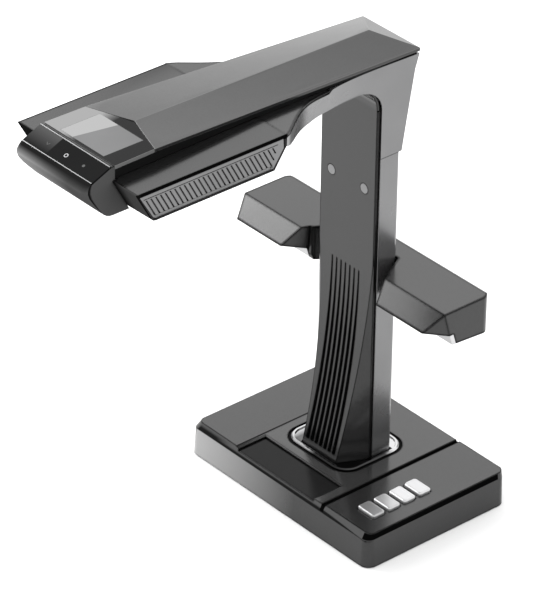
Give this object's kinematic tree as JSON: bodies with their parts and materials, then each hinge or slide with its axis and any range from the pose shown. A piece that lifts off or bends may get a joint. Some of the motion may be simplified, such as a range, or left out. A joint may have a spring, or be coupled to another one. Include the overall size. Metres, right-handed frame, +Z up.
{
  "type": "book scanner",
  "caption": "Overhead desktop book scanner: weighted base with push keys, flared column, long arm with camera head and lamps, and a lift-off side light.",
  "frame": {"origin": "on the table, under the middle of the column", "axes": "+Z up, the arm points along -Y, +X to the right seen from the front"},
  "size_m": [0.2256, 0.3488, 0.3827],
  "materials": {
    "graphite_plastic": "fine satin grain",
    "pale_shell": "satin metallic grey paint",
    "grille_plastic": "fine satin grain",
    "floor_plastic": "spark eroded texture",
    "foot_rubber": "matte",
    "black_matte": "matte",
    "mesh_black": "woven dust mesh",
    "rocker_black": "semi gloss",
    "black_gloss": "high gloss",
    "chip_black": "matte",
    "board_green": "solder mask",
    "lamp_board": "white solder mask",
    "lamp_window": "frosted diffuser",
    "screw_steel": "blackened zinc",
    "ballast_steel": "zinc plated",
    "frame_aluminium": "mill finish",
    "port_shell": "bright nickel",
    "cap_silver": "satin",
    "chrome_line": "polished",
    "collar_pearl": "pearl gloss",
    "button_silver": "silver paint, satin gloss",
    "ribbon_white": "satin",
    "screen_glass": "clear cover",
    "screen_panel": "unlit display",
    "lens_coating": "coated lens"
  },
  "bodies": {
    "scanner": {"base_top_cover": "graphite_plastic", "base_bottom_plate": "floor_plastic", "foot_ring": "foot_rubber", "case_screws": "screw_steel", "ballast_plate": "ballast_steel", "main_board": "board_green", "board_chips": "chip_black", "board_posts": "chip_black", "name_plate": "black_gloss", "column_collar": "collar_pearl", "collar_gasket": "foot_rubber", "button_board": "board_green", "button_switches": "chip_black", "signal_ports": "port_shell", "port_contacts": "black_matte", "power_jack": "black_matte", "rocker_frame": "black_matte", "column_front_cover": "graphite_plastic", "vent_screen": "mesh_black", "screw_caps": "cap_silver", "seam_strips": "black_matte", "column_rear_shell": "pale_shell", "column_frame": "frame_aluminium", "frame_bolts": "screw_steel", "arm_spine": "ballast_steel", "ribbon_cable": "ribbon_white", "neck_shell": "pale_shell", "arm_top_cover": "graphite_plastic", "arm_band": "black_matte", "display_bezel": "black_gloss", "lcd_window": "screen_glass", "lcd_module": "screen_panel", "control_strip": "black_gloss", "chrome_trims": "chrome_line", "head_boards": "board_green", "nose_cover": "graphite_plastic", "led_boards": "lamp_board", "head_lower_cover": "floor_plastic", "camera_housing": "black_matte", "lens_barrel": "black_matte", "lens_glass": "lens_coating", "laser_modules": "black_matte", "pod_shell_right": "graphite_plastic", "pod_shell_left": "graphite_plastic", "pod_grille_right": "grille_plastic", "pod_grille_left": "grille_plastic", "led_window_right": "lamp_window", "led_window_left": "lamp_window"},
    "button_1": {"function_button_1": "button_silver"},
    "button_2": {"function_button_2": "button_silver"},
    "button_3": {"function_button_3": "button_silver"},
    "button_4": {"function_button_4": "button_silver"},
    "rocker": {"power_rocker": "rocker_black"},
    "side_light": {"side_light_housing": "graphite_plastic", "side_led_boards": "lamp_board", "side_pad": "foot_rubber", "side_magnets": "port_shell", "side_window_right": "lamp_window", "side_window_left": "lamp_window"}
  },
  "joints": [
    {"name": "button_1_press", "type": "slide", "parent": "scanner", "child": "button_1", "axis": [0, 0, -1], "range_m": [0, 0.0012], "stiffness_N_per_m": 800},
    {"name": "button_2_press", "type": "slide", "parent": "scanner", "child": "button_2", "axis": [0, 0, -1], "range_m": [0, 0.0012], "stiffness_N_per_m": 800},
    {"name": "button_3_press", "type": "slide", "parent": "scanner", "child": "button_3", "axis": [0, 0, -1], "range_m": [0, 0.0012], "stiffness_N_per_m": 800},
    {"name": "button_4_press", "type": "slide", "parent": "scanner", "child": "button_4", "axis": [0, 0, -1], "range_m": [0, 0.0012], "stiffness_N_per_m": 800},
    {"name": "rocker_tilt", "type": "hinge", "parent": "scanner", "child": "rocker", "pos_m": [0.088, 0.0682, 0.0135], "axis": [0, 0, 1], "range_deg": [-16, 0]},
    {"name": "side_light_lift_off", "type": "slide", "parent": "scanner", "child": "side_light", "axis": [0, 1, 0], "range_m": [0, 0.12]}
  ]
}
